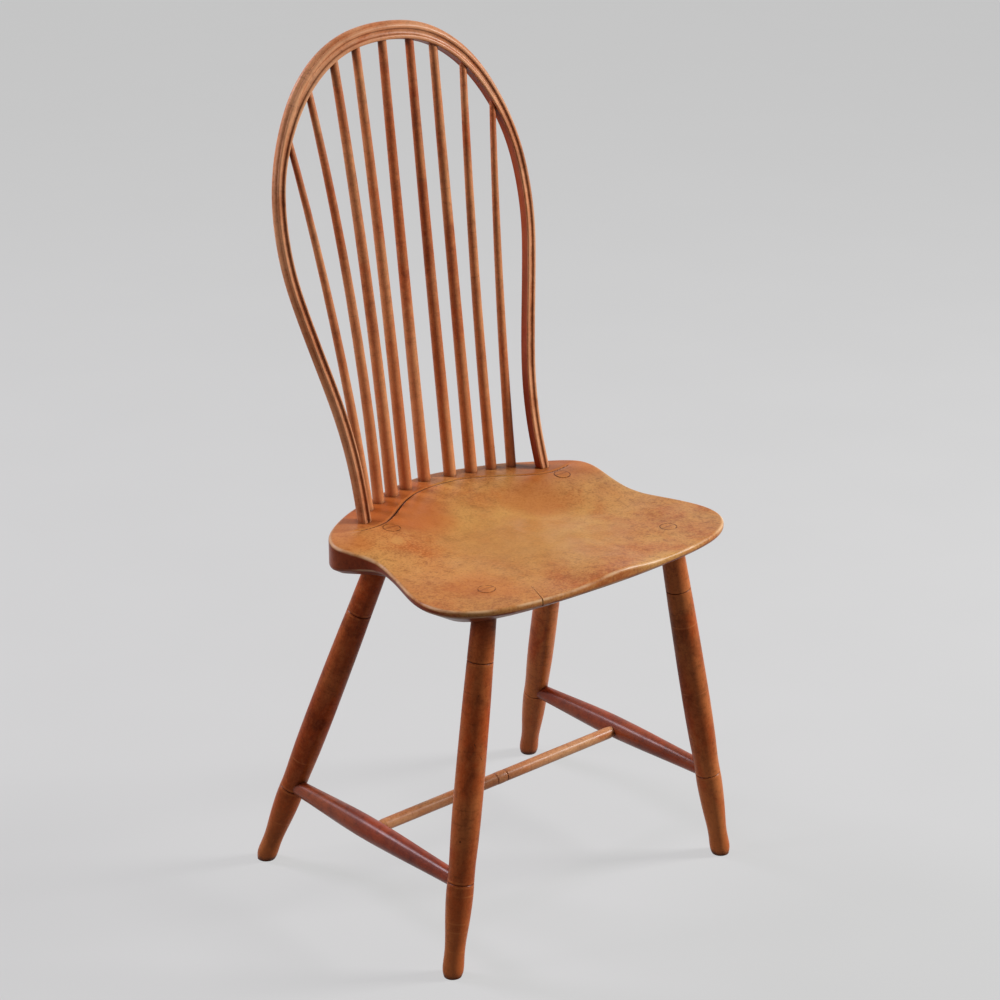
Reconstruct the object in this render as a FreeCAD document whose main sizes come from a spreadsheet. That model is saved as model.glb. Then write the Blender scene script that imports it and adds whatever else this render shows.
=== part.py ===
import FreeCAD, Part
import math
import os

# A bow-back windsor side chair. The frame of the part has +Z up, the floor at Z = 0, the front
# of the seat towards -Y and the sitter's right hand at -X. The origin lies on the floor under
# the middle of the chair.

Vector = FreeCAD.Vector
UP = Vector(0, 0, 1)

SIZES = (
    ("deck_height", 445.0, "floor to the flat deck behind the saddle"),
    ("plank_thickness", 38.0, "seat plank"),
    ("seat_front_y", -205.5, "middle of the front edge"),
    ("seat_back_y", 143.5, "middle of the back edge"),
    ("seat_right_shoulder_x", 200.5, "back corner on the sitter's right"),
    ("seat_left_shoulder_x", 188.0, "back corner on the left, sawn closer in"),
    ("seat_waist_x", 184.4, "half width at the waist"),
    ("seat_flare_x", 211.5, "half width across the front corners"),
    ("bevel_slope", 30.0, "degrees from level, bevel under the plank"),
    ("bevel_back_inset", 7.0, "foot of the bevel, inwards from the outline, at the back"),
    ("bevel_front_inset", 31.0, "foot of the bevel, inwards from the outline, in front"),
    ("bevel_rise", 22.0, "height over which the bevelled block widens"),
    ("saddle_fall", 12.5, "drop of the sitting surface in front of the deck"),
    ("saddle_reach", 120.0, "length over which it drops"),
    ("saddle_hollow", 5.0, "extra depth of each hollow"),
    ("pommel_rise", 6.0, "ridge between the thighs at the front edge"),
    ("deck_edge_middle_y", 109.0, "front of the level deck, behind the sitter"),
    ("deck_edge_side_y", 53.5, "front of the level deck, where it flares to the sides"),
    ("deck_arch_half", 134.0, "half width of the arch that it makes round the spindles"),
    ("leg_axis_height", 440.0, "height at which the leg tops are placed"),
    ("foot_radius", 10.8, "leg at the floor"),
    ("foot_bulb_radius", 11.8, "swelling just above the floor"),
    ("ankle_radius", 11.3, "neck above the foot"),
    ("lower_ring_radius", 14.8, "leg at the lower ring"),
    ("leg_swell_along", 205.0, "widest point, along the leg"),
    ("leg_swell_radius", 16.2, "leg at its widest"),
    ("upper_ring_along", 360.0, "upper scribed ring, along the leg"),
    ("upper_ring_radius", 14.5, "leg at the upper ring"),
    ("leg_shoulder_radius", 13.5, "leg where it enters the seat"),
    ("leg_tenon_radius", 9.4, "tapered tenon at the top of the seat"),
    ("ring_depth", 0.9, "scribed rings"),
    ("ring_width", 2.0, "scribed rings"),
    ("side_stretcher_radius", 13.3, "side stretcher at its swelling"),
    ("side_stretcher_end", 9.3, "side stretcher where it meets the leg"),
    ("side_tenon_radius", 7.4, "side stretcher tenon"),
    ("centre_stretcher_radius", 7.4, "centre stretcher"),
    ("centre_tenon_radius", 5.0, "centre stretcher tenon"),
    ("bow_foot_x", 134.6, "half spread of the bow at the deck"),
    ("bow_foot_y", 72.5, "bow at the deck"),
    ("bow_middle_y", 139.5, "bow at its middle height"),
    ("bow_middle_height", 700.0, "that height"),
    ("bow_crest_y", 197.5, "bow at the crest"),
    ("bow_crest_height", 960.0, "centreline of the bow at the crest"),
    ("bow_belly_x", 176.2, "half width of the bow at its widest"),
    ("bow_belly_height", 759.0, "height of that point"),
    ("bow_pinch_x", 133.6, "half width at the pinch above the seat"),
    ("bow_crest_width", 21.2, "bow section across the moulded face, crest"),
    ("bow_crest_depth", 14.5, "bow section front to back, crest"),
    ("bow_right_width", 13.5, "bow section across the moulded face, right side"),
    ("bow_left_width", 15.2, "bow section across the moulded face, left side"),
    ("bow_side_depth", 13.2, "bow section front to back, sides"),
    ("bow_tenon_radius", 6.0, "round foot of the bow in the seat"),
    ("socket_depth", 26.0, "spindle holes in the deck"),
    ("spindle_top_gap", 3.0, "spindles end this far short of the middle of the bow"),
    ("wedge_thickness", 2.6, "tenon wedge at its head"),
    ("wedge_length", 24.0, "tenon wedge"),
    ("wedge_span", 40.0, "wedge before it is trimmed to the tenon"),
    ("waste_span", 600.0, "blocks of waste that trim the ends of legs and bow"),
    ("waste_height", 60.0, "their height"),
)

# Each leg: its foot on the floor, x and y; its top at the seat, x and y; then along the leg, the
# lower scribed ring and the side stretcher's socket. The legs are set by hand and differ a little.
LEGS = (
    ("front_leg_right", (-209.8, -167.5, -133.7, -138.5, 109.5, 108.5)),
    ("front_leg_left", (209.8, -167.5, 133.7, -138.5, 113.5, 114.7)),
    ("rear_leg_right", (-211.0, 179.8, -122.0, 40.8, 107.8, 110.5)),
    ("rear_leg_left", (211.0, 182.5, 136.0, 40.8, 111.4, 114.0)),
)
LEG_FIELDS = ("foot_x", "foot_y", "top_x", "top_y", "ring", "socket")

# Each pair of spindles: half spread at the deck, place on the deck, half spread at the bow,
# sideways and forward bend at mid height, radius at the deck, radius at the bow.
SPINDLES = (
    ("outer", (107.5, 99.0, 147.4, 6.0, 2.6, 6.0, 3.5)),
    ("second", (84.8, 109.0, 111.3, 7.2, 3.6, 6.7, 4.0)),
    ("third", (59.8, 116.2, 71.2, 2.9, 3.0, 7.5, 4.9)),
    ("inner", (33.2, 123.2, 38.4, 1.9, 1.3, 7.5, 4.9)),
    ("middle", (0.0, 130.2, 0.0, 0.0, -0.8, 7.5, 4.9)),
)
SIDES = (("right", -1), ("left", 1))
SPINDLE_FIELDS = ("deck_x", "deck_y", "bow_x", "bend_x", "bend_y", "deck_radius", "bow_radius")
SPINDLE_RUNS = 10

doc = FreeCAD.newDocument("windsor_chair")
sheet = doc.addObject("Spreadsheet::Sheet", "sizes")


def fill_sheet():
    rows = list(SIZES)
    for name, values in LEGS:
        for field, value in zip(LEG_FIELDS, values):
            rows.append((f"{name}_{field}", value, name.replace("_", " ")))
    for pair, values in SPINDLES:
        for field, value in zip(SPINDLE_FIELDS, values):
            rows.append((f"{pair}_{field}", value, f"{pair} spindles"))
    for row, (alias, value, note) in enumerate(rows, 1):
        sheet.set(f"A{row}", note)
        sheet.set(f"B{row}", str(value))
        sheet.setAlias(f"B{row}", alias)
    doc.recompute()


def size(alias):
    return float(sheet.get(alias))


def bind(thing, prop, expression):
    thing.setExpression(prop, expression)


# Sketches and bodies


def origin_plane(body, role):
    return next(plane for plane in body.Origin.OriginFeatures if plane.Role == role)


def new_sketch(body, name, role):
    sketch = body.newObject("Sketcher::SketchObject", name)
    sketch.AttachmentSupport = [(origin_plane(body, role), "")]
    sketch.MapMode = "FlatFace"
    return sketch


def flat(points):
    return [Vector(x, y, 0) for x, y in points]


def through(points):
    curve = Part.BSplineCurve()
    curve.interpolate(points)
    return curve


def turned_body(name, spans):
    """A turned piece along Z. Each span is a list of (height, radius) on one smooth curve."""
    body = doc.addObject("PartDesign::Body", name)
    sketch = new_sketch(body, name + "_profile", "XZ_Plane")
    for span in spans:
        points = flat([(radius, height) for height, radius in span])
        if len(points) == 2:
            sketch.addGeometry(Part.LineSegment(points[0], points[1]))
        else:
            sketch.addGeometry(through(points))
    low = spans[0][0]
    high = spans[-1][-1]
    corners = flat([(low[1], low[0]), (0, low[0]), (0, high[0]), (high[1], high[0])])
    for start, end in zip(corners, corners[1:]):
        sketch.addGeometry(Part.LineSegment(start, end))
    turning = body.newObject("PartDesign::Revolution", name + "_turning")
    turning.Profile = sketch
    turning.ReferenceAxis = (sketch, ["V_Axis"])
    turning.Angle = 360
    sketch.Visibility = False
    body.Tip = turning
    return body


def stand_along(thing, foot, top):
    thing.Placement = FreeCAD.Placement(foot, FreeCAD.Rotation(UP, top - foot))


def boolean(kind, label, base, tool):
    result = doc.addObject(kind, label)
    result.Base = base
    result.Tool = tool
    return result


def shaped(label, shape):
    feature = doc.addObject("Part::Feature", label)
    feature.Shape = shape
    return feature


def group_of(label, things):
    group = doc.addObject("Part::Compound", label)
    group.Links = things
    return group


# Seat


def seat_outline(side):
    """One half of the plank seen from above, from the back middle to the front middle."""
    back = size("seat_back_y")
    front = size("seat_front_y")
    waist = size("seat_waist_x")
    flare = size("seat_flare_x")
    if side < 0:
        shoulder = size("seat_right_shoulder_x")
        corner = [
            (100, back - 24),
            (126, back - 34),
            (151, back - 47),
            (shoulder - 25, back - 64),
            (shoulder - 7, back - 83),
            (shoulder, back - 101),
            (shoulder - 5, back - 121),
        ]
    else:
        shoulder = size("seat_left_shoulder_x")
        corner = [
            (106, back - 29),
            (148, back - 55),
            (shoulder - 17, back - 70.5),
            (shoulder - 4, back - 87),
            (shoulder, back - 104),
            (shoulder - 1.5, back - 124),
        ]
    front_corner = [
        (waist, back - 150),
        (waist + 3, back - 181),
        (waist + 13.5, back - 214),
        (flare - 2, back - 250),
        (flare, back - 277),
        (flare - 9, front + 47),
        (177, front + 24.5),
        (135, front + 10.5),
        (70, front + 2.5),
        (0, front),
    ]
    return [(0, back), (56, back - 10), *corner, *front_corner]


def outline_loop(right_half, left_half, height):
    """A closed loop of two smooth edges, level across the chair where they meet."""
    edges = []
    for half, side in ((left_half, 1), (right_half, -1)):
        points = [Vector(side * x, y, height) for x, y in half]
        level = Vector(side, 0, 0)
        curve = Part.BSplineCurve()
        curve.interpolate(Points=points, InitialTangent=level, FinalTangent=level * -1)
        edges.append(curve.toShape())
    return edges


def inset_outline(side, back_inset, front_inset):
    """Half of the outline moved inwards, by an amount that changes from the back to the front."""
    half = seat_outline(side)
    blend_start = size("seat_back_y") - 70
    blend_length = 105
    last = len(half) - 1
    moved = []
    for i, (x, y) in enumerate(half):
        before = half[max(i - 1, 0)]
        after = half[min(i + 1, last)]
        along = Vector(after[0] - before[0], after[1] - before[1], 0)
        if i in (0, last):
            along = Vector(1 if i == 0 else -1, 0, 0)
        along.normalize()
        share = min(max((blend_start - y) / blend_length, 0), 1)
        ease = share * share * (3 - 2 * share)
        inset = back_inset + (front_inset - back_inset) * ease
        moved.append((x + along.y * inset, y - along.x * inset))
    return moved


def deck_edge_y(x):
    """Front of the level deck: an arch round the spindles that flares out to the sides."""
    middle = size("deck_edge_middle_y")
    side = size("deck_edge_side_y")
    across = abs(x) / size("deck_arch_half")
    if across < 1:
        return side + (middle - side) * (0.5 + 0.5 * math.cos(math.pi * across ** 1.25))
    return side + 90 * (across - 1) ** 2


def saddle_height(x, y):
    """Height of the sitting surface, which falls away in front of the deck."""
    ahead = (deck_edge_y(x) - y) / size("saddle_reach")
    ahead = min(max(ahead, 0), 1)
    ease = ahead * ahead * (3 - 2 * ahead)
    hollow = math.exp(-((abs(x) - 80) / 62) ** 2 - ((y + 20) / 85) ** 2)
    pommel = math.exp(-(x / 45) ** 2 - ((y - size("seat_front_y")) / 90) ** 2)
    fall = size("saddle_fall") + size("saddle_hollow") * hollow - size("pommel_rise") * pommel
    return size("deck_height") - fall * ease


def make_saddle_waste():
    """Everything above the sitting surface."""
    step = 12
    span_x = range(-240, 241, step)
    span_y = range(-240, 181, step)
    surface = Part.BSplineSurface()
    surface.interpolate([[Vector(x, y, saddle_height(x, y)) for y in span_y] for x in span_x])
    return shaped("saddle_waste", surface.toShape().extrude(UP * 60))


def make_plank():
    body = doc.addObject("PartDesign::Body", "plank")
    sketch = new_sketch(body, "plank_outline", "XY_Plane")
    for edge in outline_loop(seat_outline(-1), seat_outline(1), 0):
        sketch.addGeometry(edge.Curve)
    pad = body.newObject("PartDesign::Pad", "plank_pad")
    pad.Profile = sketch
    bind(pad, "Length", "sizes.plank_thickness + sizes.pommel_rise")
    body.Tip = pad
    bind(body, "Placement.Base.z", "sizes.deck_height - sizes.plank_thickness")
    return body


def make_bevel_block():
    """A block that widens upwards, then stands straight; it leaves the bevel under the plank."""
    bottom = size("deck_height") - size("plank_thickness")
    rise = size("bevel_rise")
    spread = rise / math.tan(math.radians(size("bevel_slope")))
    over_plank = size("plank_thickness") + size("pommel_rise") + 6
    back_inset = size("bevel_back_inset")
    front_inset = size("bevel_front_inset")
    levels = (("bevel_foot", 0, 0), ("bevel_arris", rise, spread), ("bevel_top", over_plank, spread))
    wires = []
    for label, above, outward in levels:
        halves = [inset_outline(side, back_inset - outward, front_inset - outward) for side in (-1, 1)]
        wires.append(shaped(label, Part.Wire(outline_loop(*halves, bottom + above))))
    block = doc.addObject("Part::Loft", "bevel_block")
    block.Sections = wires
    block.Solid = True
    block.Ruled = True
    return block


# Legs


def leg_axis(name):
    foot = Vector(size(name + "_foot_x"), size(name + "_foot_y"), 0)
    top = Vector(size(name + "_top_x"), size(name + "_top_y"), size("leg_axis_height"))
    return foot, top


def leg_socket(name):
    """Where the side stretcher's axis meets the leg's."""
    foot, top = leg_axis(name)
    return foot + (top - foot).normalize() * size(name + "_socket")


def ring_notch(along, radius):
    half = size("ring_width") / 2
    bottom = radius - size("ring_depth")
    return [[(along - half, radius), (along, bottom)], [(along, bottom), (along + half, radius)]]


def make_leg(name):
    foot, top = leg_axis(name)
    length = (top - foot).Length
    under_seat = length * (1 - size("plank_thickness") / size("leg_axis_height"))
    ring = size("ring_width") / 2
    low_ring = size(name + "_ring")
    low_radius = size("lower_ring_radius")
    high_ring = size("upper_ring_along")
    high_radius = size("upper_ring_radius")
    swell = size("leg_swell_along")
    swell_radius = size("leg_swell_radius")
    shoulder = size("leg_shoulder_radius")
    tenon = size("leg_tenon_radius")
    foot_span = [
        (-8, size("foot_radius") - 3.6),
        (0, size("foot_radius") - 0.8),
        (5, size("foot_radius") + 0.6),
        (14, size("foot_bulb_radius")),
        (28, size("ankle_radius")),
        (55, size("ankle_radius") + 1.6),
        (low_ring - 27, low_radius - 0.1),
        (low_ring - 14, low_radius + 0.25),
        (low_ring - ring, low_radius),
    ]
    main_span = [
        (low_ring + ring, low_radius),
        (low_ring + 20, low_radius - 0.1),
        (low_ring + 38, low_radius + 0.5),
        (low_ring + 55, swell_radius - 0.4),
        (swell, swell_radius),
        (swell + 80, swell_radius - 0.5),
        (high_ring - 25, high_radius + 0.5),
        (high_ring - ring, high_radius),
    ]
    top_span = [
        (high_ring + ring, high_radius),
        ((high_ring + under_seat) / 2, (high_radius + shoulder) / 2),
        (under_seat, shoulder),
    ]
    tenon_span = [(under_seat, shoulder), (length + 12, tenon - 0.8)]
    spans = [foot_span, *ring_notch(low_ring, low_radius), main_span]
    spans += [*ring_notch(high_ring, high_radius), top_span, tenon_span]
    body = turned_body(name + "_turning", spans)
    stand_along(body, foot, top)
    return body


def make_wedge_blank(label, head, into, thickness):
    """A thin taper, wide across the chair, driven from its head into the end of a tenon."""
    body = doc.addObject("PartDesign::Body", label)
    sketch = new_sketch(body, label + "_profile", "YZ_Plane")
    depth = size("wedge_length")
    above = 8
    spread = thickness / 2 * (depth + above) / depth
    corners = flat([(0, -depth), (spread, above), (-spread, above), (0, -depth)])
    for start, end in zip(corners, corners[1:]):
        sketch.addGeometry(Part.LineSegment(start, end))
    pad = body.newObject("PartDesign::Pad", label + "_pad")
    pad.Profile = sketch
    bind(pad, "Length", "sizes.wedge_span")
    pad.Midplane = True
    body.Tip = pad
    body.Placement = FreeCAD.Placement(head, FreeCAD.Rotation(UP, head - into))
    return body


# Stretchers


def stretcher_profile(length, end, middle, tenon, inset, bulge_at):
    """A turned bar with a long swelling; its tenons run from the sockets to the shoulders."""
    reach = inset + 2
    centre = length * bulge_at
    return [
        [(0, tenon), (inset, tenon)],
        [(inset, tenon), (reach, end)],
        [
            (reach, end),
            ((reach + centre) / 2, (end + middle * 1.35) / 2.35),
            (centre - 12, middle - 0.1),
            (centre + 12, middle - 0.1),
            ((length - reach + centre) / 2, (end + middle * 1.35) / 2.35),
            (length - reach, end),
        ],
        [(length - reach, end), (length - inset, tenon)],
        [(length - inset, tenon), (length, tenon)],
    ]


def make_side_stretcher(word):
    start = leg_socket("rear_leg_" + word)
    end = leg_socket("front_leg_" + word)
    direction = (end - start).normalize()
    past_axis = 5
    in_socket = 10
    swelling_at = 0.46
    start = start - direction * past_axis
    end = end + direction * past_axis
    spans = stretcher_profile(
        (end - start).Length,
        size("side_stretcher_end"),
        size("side_stretcher_radius"),
        size("side_tenon_radius"),
        past_axis + in_socket,
        swelling_at,
    )
    body = turned_body(f"side_stretcher_{word}_turning", spans)
    stand_along(body, start, end)
    return body, start, end


def make_centre_stretcher(right_ends, left_ends):
    right_share = 0.485
    left_share = 0.5
    past_axis = 3
    right = right_ends[0] + (right_ends[1] - right_ends[0]) * right_share
    left = left_ends[0] + (left_ends[1] - left_ends[0]) * left_share
    direction = (left - right).normalize()
    right = right - direction * past_axis
    left = left + direction * past_axis
    length = (left - right).Length
    radius = size("centre_stretcher_radius")
    tenon = size("centre_tenon_radius")
    shoulder = past_axis + 8
    neck = shoulder + 14
    middle = length / 2
    low_ring = middle - 7.5
    high_ring = middle + 7.5
    ring = size("ring_width") / 2
    spans = [
        [(0, tenon), (shoulder, tenon)],
        [(shoulder, tenon), (shoulder + 5, radius - 0.9), (neck, radius - 0.1)],
        [(neck, radius - 0.1), (low_ring - ring, radius)],
        *ring_notch(low_ring, radius),
        [(low_ring + ring, radius), (middle, radius + 0.25), (high_ring - ring, radius)],
        *ring_notch(high_ring, radius),
        [(high_ring + ring, radius), (length - neck, radius - 0.1)],
        [
            (length - neck, radius - 0.1),
            (length - shoulder - 5, radius - 0.9),
            (length - shoulder, tenon),
        ],
        [(length - shoulder, tenon), (length, tenon)],
    ]
    body = turned_body("centre_stretcher_turning", spans)
    stand_along(body, right, left)
    return body


# Bow


def bow_y(height):
    """The bow leans back; the lean eases a little towards the crest."""
    low = size("deck_height")
    middle = size("bow_middle_height")
    high = size("bow_crest_height")
    low_y = size("bow_foot_y")
    middle_y = size("bow_middle_y")
    high_y = size("bow_crest_y")
    at_low = low_y * (height - middle) * (height - high) / ((low - middle) * (low - high))
    at_middle = middle_y * (height - low) * (height - high) / ((middle - low) * (middle - high))
    at_high = high_y * (height - low) * (height - middle) / ((high - low) * (high - middle))
    return at_low + at_middle + at_high


def bow_curve():
    """Centreline from the right foot over the crest to the left foot."""
    foot = size("bow_foot_x")
    pinch = size("bow_pinch_x")
    belly = size("bow_belly_x")
    deck = size("deck_height")
    crest = size("bow_crest_height")
    belly_height = size("bow_belly_height")
    half = [
        (foot, deck),
        (pinch, deck + 40),
        (pinch + 5.2, deck + 106),
        (pinch + 19.2, deck + 173),
        (pinch + 34.4, deck + 239),
        (belly - 2.2, belly_height - 41),
        (belly, belly_height),
        (belly - 7.2, belly_height + 60),
        (belly - 30, belly_height + 115.6),
        (belly - 57.8, crest - 47.3),
        (60.4, crest - 9.1),
        (0, crest),
    ]
    right = [Vector(-x, bow_y(z), z) for x, z in half]
    left = [Vector(x, bow_y(z), z) for x, z in reversed(half[:-1])]
    return through(right + left)


def bow_section(centre, along, height, width, depth):
    """The moulded section: a bead along each front edge, a hollow field between, a round back."""
    slope = (bow_y(height + 1) - bow_y(height - 1)) / 2
    front = Vector(0, -1, slope).normalize()
    out = front.cross(along).normalize()

    def at(outward, forward):
        return centre + out * (outward * width / 2) + front * (forward * depth / 2)

    arcs = (
        ((-0.96, 0.64), (-0.85, 0.98), (-0.54, 0.90)),
        ((-0.48, 0.78), (-0.22, 0.68), (0.04, 0.79)),
        ((0.10, 0.90), (0.40, 0.99), (0.64, 0.70)),
        ((0.70, 0.66), (0.93, 0.36), (1.00, -0.05)),
        ((1.00, -0.05), (0.80, -0.64), (0.26, -0.97)),
        ((-0.68, -0.98), (-0.92, -0.91), (-0.99, -0.66)),
    )
    edges = []
    for begin, middle, end in arcs:
        edges.append(Part.Arc(at(*begin), at(*middle), at(*end)).toShape())
    closed = []
    for edge, following in zip(edges, edges[1:] + edges[:1]):
        closed.append(edge)
        gap_start = edge.Vertexes[-1].Point
        gap_end = following.Vertexes[0].Point
        if (gap_end - gap_start).Length > 0.01:
            closed.append(Part.LineSegment(gap_start, gap_end).toShape())
    return Part.Wire(closed)


def bow_size(point):
    """Width and depth of the section: slender sides, a stouter crest."""
    side_top = size("bow_belly_height") + 60
    share = (point.z - side_top) / (size("bow_crest_height") - side_top)
    share = min(max(share, 0), 1)
    ease = share * share * (3 - 2 * share)
    side_width = size("bow_right_width") if point.x < 0 else size("bow_left_width")
    side_depth = size("bow_side_depth")
    width = side_width + (size("bow_crest_width") - side_width) * ease
    depth = side_depth + (size("bow_crest_depth") - side_depth) * ease
    return width, depth


def make_bow_bend(curve):
    edge = curve.toShape()
    sections = []
    count = 41
    for point in edge.discretize(Number=count):
        along = Vector(*edge.tangentAt(curve.parameter(point)))
        width, depth = bow_size(point)
        sections.append(bow_section(point, along, point.z, width, depth))
    return shaped("bow_bend", Part.makeLoft(sections, True, False))


def make_bow_tenon(label, side, curve):
    """The round foot of the bow, which goes right through the seat."""
    parameter = curve.FirstParameter if side < 0 else curve.LastParameter
    foot = curve.value(parameter)
    lean = Vector(*curve.tangent(parameter)[0])
    if lean.z > 0:
        lean = lean * -1
    tenon = doc.addObject("Part::Cone", label)
    bind(tenon, "Radius1", "sizes.bow_tenon_radius")
    bind(tenon, "Radius2", "sizes.bow_tenon_radius - 0.6")
    bind(tenon, "Height", "sizes.plank_thickness + 6")
    tenon.Placement = FreeCAD.Placement(foot - lean * 2, FreeCAD.Rotation(UP, lean))
    return tenon, foot, lean


# Spindles


def bow_point_above(curve, x):
    """The point of the bow's centreline over a given place across the chair."""
    low = curve.FirstParameter if x <= 0 else (curve.FirstParameter + curve.LastParameter) / 2
    high = (curve.FirstParameter + curve.LastParameter) / 2 if x <= 0 else curve.LastParameter
    steps = 4000
    points = [curve.value(low + (high - low) * i / steps) for i in range(steps + 1)]
    upper = [point for point in points if point.z > size("bow_belly_height")]
    return min(upper, key=lambda point: abs(point.x - x))


def make_spindle(label, pair, side, curve):
    """A shaved spindle: short straight runs that taper from the deck to the bow and follow the
    slight bend into which it is sprung."""
    foot = Vector(side * size(pair + "_deck_x"), size(pair + "_deck_y"), size("deck_height"))
    top = bow_point_above(curve, side * size(pair + "_bow_x"))
    bend = Vector(-side * size(pair + "_bend_x"), -size(pair + "_bend_y"), 0)
    reach = (top - foot).Length
    rise = top - foot

    def place(share):
        return foot + rise * share + bend * (4 * share * (1 - share))

    def direction(share):
        return (rise + bend * (4 - 8 * share)).normalize()

    socket_floor = place(0) - direction(0) * (size("socket_depth") * reach / rise.z)
    stations = [(socket_floor, direction(0), f"sizes.{pair}_deck_radius - 0.9")]
    shares = [run / SPINDLE_RUNS for run in range(SPINDLE_RUNS)]
    shares.append(1 - size("spindle_top_gap") / reach)
    for share in shares:
        formula = f"sizes.{pair}_deck_radius * {1 - share:.5f} + sizes.{pair}_bow_radius * {share:.5f}"
        stations.append((place(share), direction(share), formula))
    rings = []
    for number, (point, along, formula) in enumerate(stations):
        ring = doc.addObject("Part::Circle", f"{label}_ring_{number}")
        bind(ring, "Radius", formula)
        ring.Placement = FreeCAD.Placement(point, FreeCAD.Rotation(UP, along))
        rings.append(ring)
    spindle = doc.addObject("Part::Loft", label)
    spindle.Sections = rings
    spindle.Solid = True
    spindle.Ruled = True
    return spindle


# Assembly


def make_waste_block(label, top_formula):
    """A wide block whose upper face is at the given height."""
    block = doc.addObject("Part::Box", label)
    bind(block, "Length", "sizes.waste_span")
    bind(block, "Width", "sizes.waste_span")
    bind(block, "Height", "sizes.waste_height")
    bind(block, "Placement.Base.x", "-sizes.waste_span / 2")
    bind(block, "Placement.Base.y", "-sizes.waste_span / 2")
    bind(block, "Placement.Base.z", f"{top_formula} - sizes.waste_height")
    return block


def trim_legs(turnings, saddle_waste):
    """Legs cut level on the floor and flush with the sitting surface."""
    floor_waste = make_waste_block("floor_waste", "0")
    leg_waste = group_of("leg_waste", [saddle_waste, floor_waste])
    trimmed = {}
    for name, turning in turnings.items():
        trimmed[name] = boolean("Part::Cut", name + "_trimmed", turning, leg_waste)
    return trimmed


def make_undercarriage(legs):
    """Stretchers, legs with their sockets and kerfs, and the wedges in the kerfs."""
    right_turning, *right_ends = make_side_stretcher("right")
    left_turning, *left_ends = make_side_stretcher("left")
    centre = make_centre_stretcher(right_ends, left_ends)
    centre.Label = "centre_stretcher"
    parts = [centre]
    parts.append(boolean("Part::Cut", "side_stretcher_right", right_turning, centre))
    parts.append(boolean("Part::Cut", "side_stretcher_left", left_turning, centre))
    side_tenons = group_of("side_tenons", [right_turning, left_turning])
    for name in legs:
        foot, top = leg_axis(name)
        head = Vector(top.x, top.y, saddle_height(top.x, top.y))
        blank = make_wedge_blank("wedge_blank_" + name, head, foot, size("wedge_thickness"))
        kerfed = boolean("Part::Cut", name + "_kerfed", legs[name], blank)
        parts.append(boolean("Part::Cut", name, kerfed, side_tenons))
        parts.append(boolean("Part::Common", "wedge_" + name, legs[name], blank))
    return parts


def make_spindles(curve):
    pairs = ["outer", "second", "third", "inner", "middle", "inner", "third", "second", "outer"]
    spindles = []
    for number, pair in enumerate(pairs, 1):
        side = -1 if number <= 5 else 1
        spindles.append(make_spindle(f"spindle_{number}", pair, side, curve))
    return spindles


def make_bow(curve, spindles):
    """The bow, its wedges, and the uncut bow that shapes the holes in the seat."""
    feet = [(word, *make_bow_tenon("bow_tenon_" + word, side, curve)) for word, side in SIDES]
    whole = doc.addObject("Part::MultiFuse", "bow_whole")
    whole.Shapes = [make_bow_bend(curve), feet[0][1], feet[1][1]]
    under_seat = make_waste_block("under_seat", "sizes.deck_height - sizes.plank_thickness")
    trimmed = boolean("Part::Cut", "bow_trimmed", whole, under_seat)
    parts = []
    blanks = []
    thickness = size("wedge_thickness") - 0.4
    for word, _, foot, lean in feet:
        head = foot + lean * (size("plank_thickness") / abs(lean.z))
        blank = make_wedge_blank("wedge_blank_bow_" + word, head, foot, thickness)
        blanks.append(blank)
        parts.append(boolean("Part::Common", "wedge_bow_" + word, trimmed, blank))
    cuts = group_of("bow_cuts", blanks + spindles)
    parts.append(boolean("Part::Cut", "bow", trimmed, cuts))
    return parts, whole


def make_seat(saddle_waste, leg_turnings, uncut_bow, spindles):
    beveled = boolean("Part::Common", "plank_beveled", make_plank(), make_bevel_block())
    saddled = boolean("Part::Cut", "plank_saddled", beveled, saddle_waste)
    for_legs = boolean("Part::Cut", "seat_for_legs", saddled, group_of("leg_tenons", leg_turnings))
    for_bow = boolean("Part::Cut", "seat_for_bow", for_legs, uncut_bow)
    return boolean("Part::Cut", "seat", for_bow, group_of("spindle_feet", spindles))


def assemble():
    fill_sheet()
    saddle_waste = make_saddle_waste()
    turnings = {name: make_leg(name) for name, _ in LEGS}
    legs = trim_legs(turnings, saddle_waste)
    curve = bow_curve()
    spindles = make_spindles(curve)
    bow_parts, uncut_bow = make_bow(curve, spindles)
    seat = make_seat(saddle_waste, list(turnings.values()), uncut_bow, spindles)
    return [*make_undercarriage(legs), *spindles, *bow_parts, seat]


def check_document():
    for thing in doc.Objects:
        bad = {"Invalid", "Error"} & set(thing.State)
        if bad:
            raise RuntimeError(f"{thing.Label} is {sorted(bad)}")


def export(parts):
    for part in parts:
        shape = part.Shape
        if shape.isNull() or not shape.isValid():
            raise RuntimeError(f"{part.Label} has no valid shape")
        if len(shape.Solids) != 1:
            raise RuntimeError(f"{part.Label} has {len(shape.Solids)} solids")
    os.makedirs("parts", exist_ok=True)
    for part in parts:
        part.Shape.exportStep(f"parts/{part.Label}.step")
        print(f"{part.Label}: {part.Shape.Volume / 1000:.1f} cm3")


all_parts = assemble()
doc.recompute()
check_document()
export(all_parts)
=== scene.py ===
"""Looks of the bow-back windsor chair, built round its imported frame.

The chair faces -Y, and the sitter's right hand is at -X. Shapes are worked out in millimetres, as in
the frame's own drawing, and turned into metres when a mesh is made.
"""
import math
from collections import namedtuple

import bmesh
import bpy
import numpy as np
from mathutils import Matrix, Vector, noise


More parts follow.
